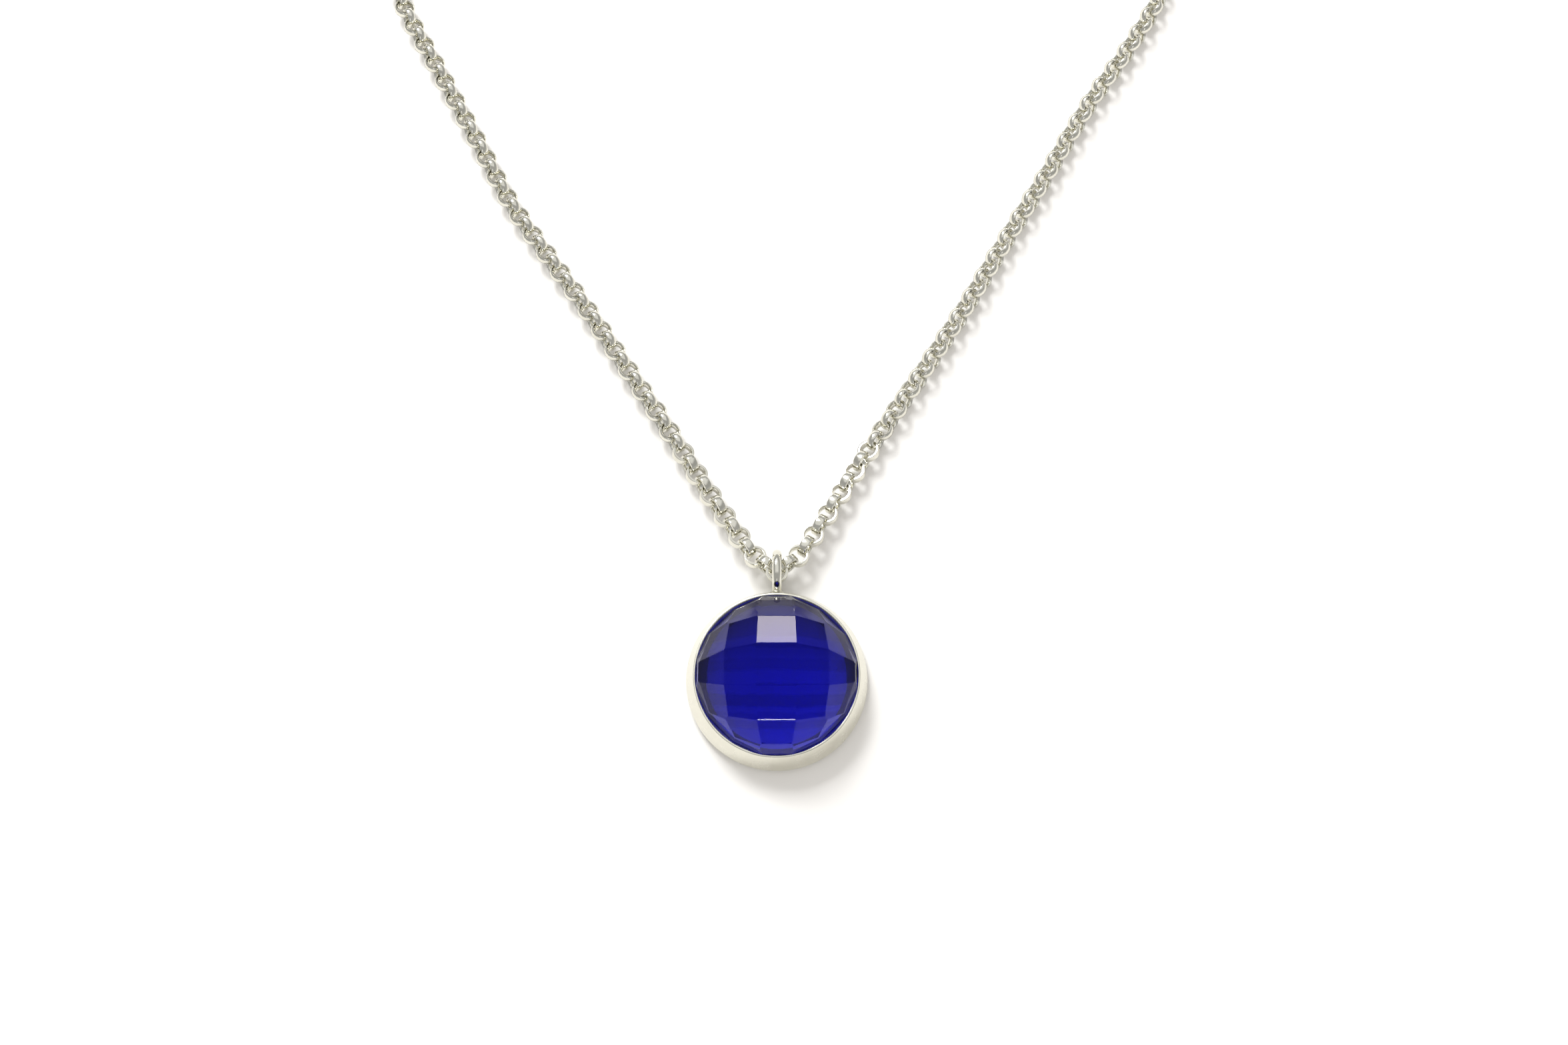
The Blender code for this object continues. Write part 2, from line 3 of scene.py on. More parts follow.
import bmesh
import bpy
import numpy as np
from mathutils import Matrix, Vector


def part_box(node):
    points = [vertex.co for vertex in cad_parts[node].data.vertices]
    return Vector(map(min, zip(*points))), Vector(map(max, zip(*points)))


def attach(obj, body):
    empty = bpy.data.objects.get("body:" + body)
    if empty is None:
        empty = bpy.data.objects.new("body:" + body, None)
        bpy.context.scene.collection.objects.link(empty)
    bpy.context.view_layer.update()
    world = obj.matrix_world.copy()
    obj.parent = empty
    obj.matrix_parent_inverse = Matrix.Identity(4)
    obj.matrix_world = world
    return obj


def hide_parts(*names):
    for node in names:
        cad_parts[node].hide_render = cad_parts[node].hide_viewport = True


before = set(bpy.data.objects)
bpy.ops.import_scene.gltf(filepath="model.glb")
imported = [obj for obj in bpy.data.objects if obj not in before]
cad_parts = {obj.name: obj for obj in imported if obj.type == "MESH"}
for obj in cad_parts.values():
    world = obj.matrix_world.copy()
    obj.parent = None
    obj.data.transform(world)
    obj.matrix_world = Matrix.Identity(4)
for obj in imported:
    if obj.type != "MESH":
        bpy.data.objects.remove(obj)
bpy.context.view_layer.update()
mm = 0.001

# Places read from the frame: the bezel's axis, the rim's height and the bail ring's centre.
bezelLow, bezelHigh = (np.array(c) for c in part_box("bezel_cup"))
bailLow, bailHigh = (np.array(c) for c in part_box("bail_ring"))
linkLow, linkHigh = (np.array(c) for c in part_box("chain_link_centre"))
pendantX, pendantY = (bezelLow[:2] + bezelHigh[:2]) / 2
rimHeight = bezelHigh[2]
centreLink = (linkLow + linkHigh) / 2


camera = {
    "place": (0.626, -26.93, 132.9),  # millimetres from the bezel's axis on the floor
    "lean": 17.38,  # degrees from straight down, towards the clasp
    "lens": 35.2,
}


def makeCamera(c):
    # place counted from the bezel's axis, lean as a turn about x from straight down
    data = bpy.data.cameras.new("camera")
    data.lens = c["lens"]
    data.sensor_width = 36.0
    data.clip_start = 0.005
    data.clip_end = 20.0
    made = bpy.data.objects.new("camera", data)
    x, y, z = c["place"]
    made.location = (pendantX + x * mm, pendantY + y * mm, z * mm)
    made.rotation_euler = (math.radians(c["lean"]), 0.0, 0.0)
    bpy.context.scene.collection.objects.link(made)
    bpy.context.scene.camera = made


def newMaterial(name):
    # a node material, its tree and its Principled shader
    made = bpy.data.materials.new(name)
    made.use_nodes = True
    return made, made.node_tree, made.node_tree.nodes["Principled BSDF"]


def node(tree, kind, **values):
    # a new node with each value put on the input or the property of that name
    made = tree.nodes.new("ShaderNode" + kind)
    for name, value in values.items():
        if name in made.inputs:
            made.inputs[name].default_value = value
        else:
            setattr(made, name, value)
    return made


def ramp(tree, stops, source):
    # colour as a straight-line function of the source, through stops of (place, colour)
    made = tree.nodes.new("ShaderNodeValToRGB")
    made.color_ramp.interpolation = "LINEAR"
    while len(made.color_ramp.elements) < len(stops):
        made.color_ramp.elements.new(0.5)
    for element, (place, colour) in zip(made.color_ramp.elements, stops):
        element.position = place
        element.color = (*colour, 1.0)
    tree.links.new(source, made.inputs["Fac"])
    return made.outputs["Color"]


def maths(tree, kind, first, second=None, clamp=False):
    # kind(first, second), where each is a number or a node's output
    made = tree.nodes.new("ShaderNodeMath")
    made.operation = kind
    made.use_clamp = clamp
    for slot, value in zip(made.inputs, (first, second)):
        if isinstance(value, (int, float)):
            slot.default_value = value
        elif value is not None:
            tree.links.new(value, slot)
    return made.outputs[0]


def remap(tree, value, taken, given):
    # given[0] + (value - taken[0]) / (taken[1] - taken[0]) * (given[1] - given[0]), held within given
    made = node(tree, "MapRange")
    made.inputs["From Min"].default_value, made.inputs["From Max"].default_value = taken
    made.inputs["To Min"].default_value, made.inputs["To Max"].default_value = given
    tree.links.new(value, made.inputs["Value"])
    return made.outputs["Result"]


def blendColour(tree, share, first, second):
    # first (1 - share) + second share; a colour is a tuple or a node's output
    made = tree.nodes.new("ShaderNodeMixRGB")
    tree.links.new(share, made.inputs["Fac"])
    for slot, value in (("Color1", first), ("Color2", second)):
        if isinstance(value, tuple):
            made.inputs[slot].default_value = (*value, 1.0)
        else:
            tree.links.new(value, made.inputs[slot])
    return made.outputs["Color"]


def objectPlace(tree):
    # object coordinates, y and z from the bezel's axis and the floor, and the reach sqrt(x^2 + y^2)
    where = tree.nodes.new("ShaderNodeTexCoord").outputs["Object"]
    split = tree.nodes.new("ShaderNodeSeparateXYZ")
    tree.links.new(where, split.inputs[0])
    x = maths(tree, "SUBTRACT", split.outputs["X"], float(pendantX))
    y = maths(tree, "SUBTRACT", split.outputs["Y"], float(pendantY))
    squares = maths(tree, "ADD", maths(tree, "MULTIPLY", x, x), maths(tree, "MULTIPLY", y, y))
    return where, y, split.outputs["Z"], maths(tree, "SQRT", squares)


polished = {
    "colour": (0.80, 0.785, 0.70),
    "dull": (0.70, 0.685, 0.60),
    "roughness": (0.08, 0.18),
    "scratch": 0.05,
    "dent": 0.00004,
}
steel = {
    "colour": (0.60, 0.60, 0.61),
    "dull": (0.50, 0.50, 0.51),
    "roughness": (0.2, 0.35),
    "scratch": 0.1,
    "dent": 0.00004,
}
satin = {
    "colour": (0.79, 0.775, 0.68),
    "dull": (0.74, 0.725, 0.63),
    "roughness": (0.2, 0.3),
    "scratch": 0.08,
    "dent": 0.00004,
}
rough = {**satin, "colour": (0.66, 0.645, 0.58), "scratch": 0.9}


def paintSeatShade(tree, shader, c):
    # painted shade in the bore under the rim, where rim and stone shade the wall: inside radius bore,
    # above the back, paler near the rim's edge
    where, y, z, reach = objectPlace(tree)
    inner = maths(tree, "LESS_THAN", reach, (c["bore"] - c["seatEdge"]) * mm)
    above = maths(tree, "GREATER_THAN", z, c["seatFrom"] * mm)
    near, far = (float(rimHeight - depth * mm) for depth in c["seatFade"])
    fade = remap(tree, z, (near, far), (c["seatPale"], 1.0))
    paintedShade = maths(tree, "MULTIPLY", maths(tree, "MULTIPLY", inner, above), fade)
    silver = shader.inputs["Base Color"].links[0].from_socket
    tree.links.new(blendColour(tree, paintedShade, silver, c["seat"]), shader.inputs["Base Color"])


def silverMaterial(name, s, grain=1.0, seat=None):
    # cloudy shade and roughness from one noise, tiny dents from a finer one
    made, tree, shader = newMaterial(name)
    link = tree.links.new
    where = tree.nodes.new("ShaderNodeTexCoord").outputs["Object"]
    clouds = node(tree, "TexNoise", Scale=900.0 * grain, Detail=4.0, Roughness=0.6)
    link(where, clouds.inputs["Vector"])
    fine = node(tree, "TexNoise", Scale=5200.0 * grain, Detail=3.0, Roughness=0.7)
    link(where, fine.inputs["Vector"])
    shade = ramp(tree, [(0.3, s["dull"]), (0.62, s["colour"])], clouds.outputs["Fac"])
    link(shade, shader.inputs["Base Color"])
    spread = remap(tree, clouds.outputs["Fac"], (0.35, 0.7), s["roughness"])
    link(spread, shader.inputs["Roughness"])
    dent = node(tree, "Bump", Strength=s["scratch"], Distance=s["dent"])
    link(fine.outputs["Fac"], dent.inputs["Height"])
    link(dent.outputs["Normal"], shader.inputs["Normal"])
    shader.inputs["Metallic"].default_value = 1.0
    # painted shade in the bezel's bore, where given
    if seat:
        paintSeatShade(tree, shader, seat)
    return made


sapphire = {
    "colour": (0.90, 0.91, 1.0),
    "absorb": (0.22, 0.25, 0.93),
    "density": 600.0,
    "ior": 1.62,
    "edges": (0.035, 4.0, 0.0),
    "gloss": (0.5, 0.48, 0.5),
    "backHeight": 1.72,  # everything below is the stone's underside
    "clearBack": 4.75,  # radius of the middle of the underside, which the painted ledge shade leaves clear
    "seatColour": (0.05, 0.06, 0.10),
    "clearEdge": 0.12,
    "bandSpan": 6.0,
    "bandWave": 0.02,
    # painted bands of light and shade on the underside, standing in for the facets' reflections, across
    # it towards the bail, as (place, shade)
    "paintedBands": [
        (0.06, 1.0), (0.22, 0.96), (0.24, 0.50), (0.29, 0.48), (0.31, 0.80), (0.335, 0.72), (0.35, 0.22),
        (0.42, 0.26), (0.44, 0.74), (0.52, 0.78), (0.54, 0.40), (0.60, 0.42), (0.62, 0.66), (0.68, 0.58),
        (0.70, 0.32), (0.80, 0.30), (0.90, 0.22),
    ],
}


def stoneMaterial(s):
    # clear glass that soaks up light inside, with painted bands of light and shade standing in for the
    # facets' reflections on the underside, and painted shade round the underside's edge where it rests
    # on the ledge
    made, tree, shader = newMaterial("blue_stone")
    link = tree.links.new
    where, y, z, reach = objectPlace(tree)
    wave = node(tree, "TexNoise", Scale=700.0, Detail=2.0)
    link(where, wave.inputs["Vector"])
    across = maths(tree, "DIVIDE", y, 2 * s["bandSpan"] * mm)
    shaken = maths(tree, "ADD", across, maths(tree, "MULTIPLY", wave.outputs["Fac"], s["bandWave"]))
    place = maths(tree, "ADD", shaken, 0.5 - s["bandWave"] / 2)
    # painted bands of light and shade, from the place across the underside
    paintedBands = ramp(tree, [(at, (v, v, v**0.6)) for at, v in s["paintedBands"]], place)
    # painted shade of the ledge round the underside's rim, fading in over clearEdge
    start = s["clearBack"]
    edge = remap(tree, reach, (start * mm, (start + s["clearEdge"]) * mm), (0.0, 1.0))
    under = blendColour(tree, edge, paintedBands, s["seatColour"])
    below = maths(tree, "LESS_THAN", z, s["backHeight"] * mm)
    link(blendColour(tree, below, s["colour"], under), shader.inputs["Base Color"])
    shader.inputs["Roughness"].default_value = 0.0
    shader.inputs["IOR"].default_value = s["ior"]
    shader.inputs["Specular Tint"].default_value = (*s["gloss"], 1.0)
    shader.inputs["Transmission Weight"].default_value = 1.0
    soak = node(tree, "VolumeAbsorption", Density=s["density"])
    soak.inputs["Color"].default_value = (*s["absorb"], 1.0)
    link(soak.outputs["Volume"], tree.nodes["Material Output"].inputs["Volume"])
    return made


def addMesh(name, points, faces, material, smooth=40.0):
    # a mesh from arrays of points, in metres, and faces, sharp where it bends more than smooth degrees
    mesh = bpy.data.meshes.new(name)
    mesh.vertices.add(len(points))
    mesh.vertices.foreach_set("co", np.asarray(points, np.float32).ravel())
    corners = np.asarray(faces, np.int32)
    mesh.loops.add(corners.size)
    mesh.loops.foreach_set("vertex_index", corners.ravel())
    mesh.polygons.add(len(corners))
    mesh.polygons.foreach_set("loop_start", np.arange(0, corners.size, corners.shape[1], dtype=np.int32))
    mesh.polygons.foreach_set("loop_total", np.full(len(corners), corners.shape[1], np.int32))
    mesh.update(calc_edges=True)
    mesh.materials.append(material)
    if smooth:
        mesh.shade_smooth()
        mesh.set_sharp_from_angle(angle=math.radians(smooth))
    made = bpy.data.objects.new(name, mesh)
    bpy.context.scene.collection.objects.link(made)
    return made


def gridFaces(rows, columns, closed=True):
    # quad (i, j) joins grid points (i, j), (i+1, j), (i+1, j+1), (i, j+1), counted round the grid;
    # an open grid leaves out the quads from its last row to its first
    i, j = np.meshgrid(np.arange(rows if closed else rows - 1), np.arange(columns), indexing="ij")
    i2, j2 = (i + 1) % rows, (j + 1) % columns
    corners = [i * columns + j, i2 * columns + j, i2 * columns + j2, i * columns + j2]
    return np.stack(corners, -1).reshape(-1, 4)


def linkSection(wall, width, corner, points):
    # the band's section: a superellipse |x|^p + |z|^p = 1 with half-axes wall/2 and width/2
    turn = 2 * np.pi * np.arange(points) / points
    power = 2 / corner
    x = np.sign(np.cos(turn)) * np.abs(np.cos(turn)) ** power * wall / 2
    z = np.sign(np.sin(turn)) * np.abs(np.sin(turn)) ** power * width / 2
    return x, z


def ringPoints(radius, sectionX, sectionZ, around):
    # point (u, v) = ((radius + x(v)) cos u, (radius + x(v)) sin u, z(v))
    u = (2 * np.pi * np.arange(around) / around)[:, None]
    reach = (radius + sectionX)[None, :] + 0 * u
    return np.stack([reach * np.cos(u), reach * np.sin(u), sectionZ[None, :] + 0 * u], -1)


chain = {
    "diameter": 2.0,
    "wall": 0.28,
    "width": 0.72,
    "height": 1.07,  # of the lying chain's middle above the floor
    "singles": 12,  # links made one by one on each side of the bail
    "around": 48,
    "section": 16,
    "runAround": 16,
    "runSection": 8,
    "corner": 5.0,  # power of the band's section: higher is squarer
    "runCorner": 3.4,
    "play": 0.034,
}
# Each half's line from the centre link, in millimetres; the third value is the share of the centre
# link's height above the lying chain.
rightRoute = [
    (0.0, 0.0, 1.0), (1.95, 1.6, 0.72), (3.75, 4.35, 0.3), (7.15, 9.85, 0.0),
    (11.2, 16.05, 0.0), (15.3, 22.3, 0.0), (18.4, 27.3, 0.0), (21.6, 32.8, 0.0),
    (25.7, 39.6, 0.0), (30.8, 48.3, 0.0), (35.15, 54.75, 0.0), (38.45, 60.55, 0.0),
    (40.0, 67.0, 0.0), (40.3, 78.0, 0.0), (40.2, 91.3, 0.0), (40.3, 104.6, 0.0),
    (39.4, 117.9, 0.0), (36.2, 129.4, 0.0), (29.5, 137.6, 0.0), (20.0, 138.6, 0.0),
    (12.9, 134.0, 0.0), (8.6, 125.4, 0.0), (5.4, 116.2, 0.05), (3.0, 109.0, 0.45),
]
leftRoute = [
    (0.0, 0.0, 1.0), (-1.95, 1.45, 0.72), (-3.8, 4.0, 0.3), (-6.6, 8.3, 0.0),
    (-10.3, 14.25, 0.0), (-14.1, 20.05, 0.0), (-18.0, 26.0, 0.0), (-21.95, 31.6, 0.0),
    (-25.7, 37.1, 0.0), (-29.5, 44.2, 0.0), (-33.75, 52.1, 0.0), (-38.05, 60.3, 0.0),
    (-39.9, 67.5, 0.0), (-40.4, 78.0, 0.0), (-40.2, 91.3, 0.0), (-40.3, 104.6, 0.0),
    (-39.6, 117.9, 0.0), (-36.8, 129.4, 0.0), (-30.5, 137.4, 0.0), (-21.2, 138.5, 0.0),
    (-14.4, 133.6, 0.0), (-11.0, 125.2, 0.05), (-8.9, 118.4, 0.45),
]
# Turn of the chain about its own line, in degrees, against distance from the bail in millimetres.
rollRight = ([0.0, 6.0, 16.0, 24.0, 60.0, 200.0], [-6.0, -8.0, -24.0, -42.0, -45.0, -45.0])
rollLeft = ([0.0, 6.0, 20.0, 60.0, 200.0], [10.0, 16.0, 20.0, 18.0, 10.0])


def smoothRoute(points, count=24):
    # centripetal Catmull-Rom: between p1 and p2, knots t spaced by the square root of each span
    p = np.array(points, float)
    p = np.vstack([2 * p[0] - p[1], p, 2 * p[-1] - p[-2]])
    p0, p1, p2, p3 = p[:-3, None], p[1:-2, None], p[2:-1, None], p[3:, None]
    t1 = np.linalg.norm(p1 - p0, axis=-1, keepdims=True) ** 0.5
    t2 = t1 + np.linalg.norm(p2 - p1, axis=-1, keepdims=True) ** 0.5
    t3 = t2 + np.linalg.norm(p3 - p2, axis=-1, keepdims=True) ** 0.5
    t = t1 + (t2 - t1) * (np.arange(count) / count)[None, :, None]
    a1 = p0 * (t1 - t) / t1 + p1 * t / t1
    a2 = p1 * (t2 - t) / (t2 - t1) + p2 * (t - t1) / (t2 - t1)
    a3 = p2 * (t3 - t) / (t3 - t2) + p3 * (t - t2) / (t3 - t2)
    b1 = a1 * (t2 - t) / t2 + a2 * t / t2
    b2 = a2 * (t3 - t) / (t3 - t1) + a3 * (t - t1) / (t3 - t1)
    fine = b1 * (t2 - t) / (t2 - t1) + b2 * (t - t1) / (t2 - t1)
    return np.vstack([fine.reshape(-1, 3), p[-2]])


def linkPlaces(line, last, pitch):
    # links at equal arc lengths, so that the last one lies where its CAD solid does
    steps = np.linalg.norm(np.diff(line, axis=0), axis=1)
    along = np.concatenate([[0.0], np.cumsum(steps)])
    ending = along[np.argmin(np.linalg.norm(line - last, axis=1))]
    count = int(round(ending / pitch))
    s = ending * np.arange(count + 1) / count
    places = np.stack([np.interp(s, along, line[:, k]) for k in range(3)], -1)
    ahead = np.gradient(places, axis=0)
    return places, ahead / np.linalg.norm(ahead, axis=1, keepdims=True), s


def linkFrames(ahead, roll):
    # columns along, side and up of each link, with side and up turned by roll about along
    side = np.cross([0.0, 0.0, 1.0], ahead)
    side /= np.linalg.norm(side, axis=1, keepdims=True)
    up = np.cross(ahead, side)
    c, s = np.cos(roll)[:, None], np.sin(roll)[:, None]
    return np.stack([ahead, side * c + up * s, up * c - side * s], -1)


def copies(shape, places, frames):
    # point = place + frame * shape, for every link at once
    flat = shape.reshape(-1, 3)
    return places[:, None, :] + np.einsum("nij,pj->npi", frames, flat)


def chainPitch(c):
    # 2 sqrt(hole^2 - (width/2)^2) - play: each link hangs by its band's corners in the next one's hole
    hole = c["diameter"] / 2 - c["wall"]
    return 2 * math.sqrt(hole**2 - (c["width"] / 2) ** 2) - c["play"]


def pathLength(path):
    # sum of |p(k+1) - p(k)|
    return float(np.linalg.norm(np.diff(path, axis=0), axis=1).sum())


def linkShape(c, corner, section, around):
    # one link as grid points: the band's section round a circle of radius (diameter - wall) / 2
    middle = (c["diameter"] - c["wall"]) / 2
    return ringPoints(middle, *linkSection(c["wall"], c["width"], corner, section), around)


def makeChainHalf(side, route, rolls, c, material):
    # single links near the bail and the rest as one mesh; link k = place(k) + frame(k) shape, with
    # every second one a quarter turned
    route = np.array(route, float)
    route[:, :2] += centreLink[:2] / mm
    route[:, 2] = c["height"] + (centreLink[2] / mm - c["height"]) * route[:, 2]
    low, high = (np.array(x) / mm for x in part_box(f"chain_link_{side}_end"))
    places, ahead, s = linkPlaces(smoothRoute(route), (low + high) / 2, chainPitch(c))
    count = len(places)
    roll = np.radians(np.interp(s, *rolls)) + np.where(np.arange(count) % 2, np.pi / 2, 0.0)
    roll[-1] = 0.0
    frames = linkFrames(ahead, roll)
    near = linkShape(c, c["corner"], c["section"], c["around"])
    far = linkShape(c, c["runCorner"], c["runSection"], c["runAround"])
    nearFaces = gridFaces(c["around"], c["section"])
    farFaces = gridFaces(c["runAround"], c["runSection"])
    singles = []
    for k in range(1, c["singles"] + 1):
        points = copies(near, places[k : k + 1], frames[k : k + 1])[0] * mm
        piece = addMesh(f"polished_link_{side}_{k:02d}", points, nearFaces, material)
        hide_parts(f"chain_link_{side}_{k:02d}")
        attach(piece, f"chain_{side}")
        singles.append(piece)
    k = c["singles"] + 1
    points = copies(far, places[k:], frames[k:])
    each = far.shape[0] * far.shape[1]
    faces = (farFaces[None] + (np.arange(len(points)) * each)[:, None, None]).reshape(-1, 4)
    run = addMesh(f"chain_links_{side}", points.reshape(-1, 3) * mm, faces, material, smooth=60.0)
    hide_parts(f"chain_run_{side}", f"chain_link_{side}_end")
    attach(run, f"chain_{side}")
    path = places[k - 1 :] * mm
    return run, path, singles


def makeCentreLink(c, material):
    # the link the bail hangs on, level, with its axis upright
    points = centreLink + linkShape(c, c["corner"], c["section"], c["around"]).reshape(-1, 3) * mm
    piece = addMesh("polished_link_centre", points, gridFaces(c["around"], c["section"]), material)
    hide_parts("chain_link_centre")
    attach(piece, "centre_link")


bezel = {
    "foot": 8.0,  # radius at the foot
    "footRise": 0.6,
    "rim": 7.2,
    "bore": 7.05,
    "back": 7.65,  # outer radius of the flat back
    "opening": 5.9,
    "ledge": 1.0,  # height of the ledge the stone sits on
    "gap": -0.05,  # from the stone to the pressed rim, which laps over it
    "seat": (0.05, 0.05, 0.06),  # colour of the painted shade in the bore
    "seatEdge": 0.012,
    "seatFrom": 0.3,
    "seatFade": (0.06, 0.3),  # depths below the rim between which the painted shade darkens
    "seatPale": 0.35,
    "press": 0.55,  # fall of the pressed rim for each unit it reaches in
    "round": 0.45,  # of the outside corners
    "around": 360,
    "outline": 6.93,  # the stone's reach at the rim
}
# The stone's rim facets: tilt from level, directions, and distance from the axis at the rim's height.
rimTiers = [
    (75.0, (0, 180), 0.999),
    (63.5, (23.8, 156.2, 203.8, 336.2), 0.986),
    (66.7, (45, 135, 225, 315), 0.962),
    (67.0, (64.5, 115.5, 244.5, 295.5), 0.978),
    (60.0, (90, 270), 0.998),
]


def stoneOutline(turn, height, c):
    # r(turn, z) = min over facets of (d + (rim - z) / tan(tilt)) / cos(turn - direction)
    reach = np.full(np.broadcast(turn, height).shape, 99.0)
    for tilt, directions, share in rimTiers:
        for direction in directions:
            cosine = np.cos(turn - math.radians(direction))
            wide = share * c["outline"] + (rimHeight / mm - height) / math.tan(math.radians(tilt))
            reach = np.where(cosine > 0.2, np.minimum(reach, wide / np.maximum(cosine, 0.2)), reach)
    return reach


def wallReach(height, c):
    # radius of the tapered wall: rim + (foot - rim) (rim height - height) / (rim height - foot's rise)
    top = rimHeight / mm
    return c["rim"] + (c["foot"] - c["rim"]) * (top - height) / (top - c["footRise"])


def rounded(profile, radius, steps=5):
    # each corner of an open profile becomes an arc of that radius, as a quadratic curve
    out = [profile[0]]
    for before, here, after in zip(profile, profile[1:], profile[2:]):
        before, here, after = map(np.array, (before, here, after))
        one, two = before - here, after - here
        reach = min(radius, np.linalg.norm(one) * 0.45, np.linalg.norm(two) * 0.45)
        start = here + one / np.linalg.norm(one) * reach
        end = here + two / np.linalg.norm(two) * reach
        for k in range(steps + 1):
            t = k / steps
            out.append((1 - t) ** 2 * start + 2 * t * (1 - t) * here + t**2 * end)
    out.append(profile[-1])
    return np.array(out)


def makeBezel(c, material):
    # the wall's profile turned about the axis; inside the rim it follows the stone's many-sided outline
    top = rimHeight / mm
    turn = 2 * np.pi * np.arange(c["around"]) / c["around"]
    corners = [
        (c["opening"], 0.0),
        (c["back"], 0.0),
        (c["foot"], c["footRise"]),
        (c["rim"], top - 0.02),
        (c["bore"] + 0.02, top),
    ]
    outer = rounded(corners, c["round"])
    outer[-8:, 1] = np.minimum(outer[-8:, 1], top)
    radii = np.repeat(outer[:, :1].T, len(turn), 0)
    heights = np.repeat(outer[:, 1:].T, len(turn), 0)
    lip = np.minimum(c["bore"], stoneOutline(turn, top, c) + c["gap"])
    drop = (c["bore"] - lip) * c["press"] + 0.02
    inside = []
    for share in (0.15, 0.4, 0.7, 1.0):
        inside.append((c["bore"] + (lip - c["bore"]) * share, top - 0.01 - drop * share**1.4))
    for level in (0.75, 0.5, 0.25):
        z = c["ledge"] + (top - c["ledge"]) * level - 0.1
        inside.append((np.minimum(c["bore"], stoneOutline(turn, z, c) + c["gap"]), z))
    inside.append((np.full(len(turn), c["bore"]), c["ledge"] + 0.03))
    inside.append((np.full(len(turn), c["bore"] - 0.06), c["ledge"]))
    inside.append((np.full(len(turn), c["opening"] + 0.05), c["ledge"]))
    inside.append((np.full(len(turn), c["opening"]), c["ledge"] - 0.05))
    inside.append((np.full(len(turn), c["opening"]), 0.05))
    radii = np.hstack([radii] + [np.broadcast_to(r, turn.shape)[:, None] for r, z in inside])
    heights = np.hstack([heights] + [np.broadcast_to(z, turn.shape)[:, None] for r, z in inside])
    points = np.stack([
        pendantX / mm + radii * np.cos(turn)[:, None],
        pendantY / mm + radii * np.sin(turn)[:, None],
        heights,
    ], -1)
    faces = gridFaces(len(turn), radii.shape[1])
    made = addMesh("bezel", points.reshape(-1, 3) * mm, faces, material, smooth=50.0)
    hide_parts("bezel_cup")
    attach(made, "pendant")


bail = {
    "wire": 0.82,
    "around": 96,
    "section": 28,
    "dents": 0.006,
    "sunk": 0.05,  # of the wire's end in the wall
    "swell": 0.01,
}


def makeBail(c, material):
    # point (u, v) = centre + ((R + w cos v) sin u, w sin v) with R + w = the ring's outer radius
    centre = (bailLow + bailHigh) / 2 / mm
    outer = (bailHigh[2] - bailLow[2]) / 2 / mm
    centre[1] = bailHigh[1] / mm - outer
    thick = c["wire"] / 2
    u = (2 * np.pi * np.arange(c["around"]) / c["around"])[:, None]
    v = (2 * np.pi * np.arange(c["section"]) / c["section"])[None, :]
    wear = np.sin(3 * u + 1.0) * np.cos(2 * v) + 0.5 * np.sin(7 * u + v)
    worn = thick + c["swell"] + c["dents"] * wear
    middle = outer - thick
    reach = middle + worn * np.cos(v)
    x, y, z = centre
    points = np.stack([x + worn * np.sin(v) + 0 * u, y + reach * np.cos(u), z + reach * np.sin(u)], -1)
    limit = pendantY / mm + wallReach(points[..., 2], bezel) - c["sunk"]
    points[..., 1] = np.maximum(points[..., 1], limit)
    faces = gridFaces(c["around"], c["section"])
    made = addMesh("bail", points.reshape(-1, 3) * mm, faces, material, smooth=60.0)
    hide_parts("bail_ring")
    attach(made, "pendant")
    return centre


solder = {
    "rings": 14,
    "sides": 40,
    "thinner": 0.03,  # how much thinner than the wire its end is
    "flare": 0.55,  # how far it spreads on the wall
    "fall": 4.2,
    "tall": 1.25,  # height against width
    "climb": 0.8,  # how far it climbs the wire
    "sunk": 0.12,  # how deep it starts in the wall
    "slope": 0.30,  # of the wall
}


def makeSolder(centre, c, material):
    # a collar between wire and wall, with t from wall to wire:
    # radius(t) = wire/2 - thinner + flare exp(-fall t) lumps (1 - t)
    level = centre[2]
    wall = pendantY / mm + wallReach(level, bezel)
    t = np.linspace(0.0, 1.0, c["rings"])[:, None]
    v = (2 * np.pi * np.arange(c["sides"]) / c["sides"])[None, :]
    lumps = 1 + 0.10 * np.sin(3 * v + 5 * t) + 0.07 * np.sin(7 * v - 9 * t) + 0.05 * np.sin(11 * v + 3)
    radius = bail["wire"] / 2 - c["thinner"] + c["flare"] * np.exp(-c["fall"] * t) * lumps * (1 - t)
    x = centre[0] + radius * np.cos(v)
    z = level + c["tall"] * radius * np.sin(v)
    y = wall - c["sunk"] - c["slope"] * (z - level) + (c["climb"] + c["sunk"]) * t
    ringCount, sideCount = radius.shape
    points = np.stack([x, y, z], -1).reshape(-1, 3)
    faces = gridFaces(ringCount, sideCount, closed=False)
    points = np.vstack([points, points[:sideCount].mean(0), points[-sideCount:].mean(0)])
    k = np.arange(sideCount)
    k2 = (k + 1) % sideCount
    last = (ringCount - 1) * sideCount
    bottom = np.stack([np.full(sideCount, len(points) - 2), k, k2], -1)
    upper = np.stack([np.full(sideCount, len(points) - 1), last + k2, last + k], -1)
    mesh = bpy.data.meshes.new("solder")
    mesh.from_pydata((points * mm).tolist(), [], faces.tolist() + bottom.tolist() + upper.tolist())
    mesh.materials.append(material)
    mesh.shade_smooth()
    made = bpy.data.objects.new("solder", mesh)
    bpy.context.scene.collection.objects.link(made)
    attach(made, "pendant")


def merged(name, tolerance=0.000002):
    # a copy of a CAD part's mesh in frame coordinates, joined up, its level triangles one face
    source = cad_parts[name]
    work = bmesh.new()
    work.from_mesh(source.data)
    work.transform(source.matrix_world)
    bmesh.ops.remove_doubles(work, verts=work.verts, dist=tolerance)
    bmesh.ops.dissolve_limit(work, angle_limit=math.radians(1.0), verts=work.verts, edges=work.edges)
    return work


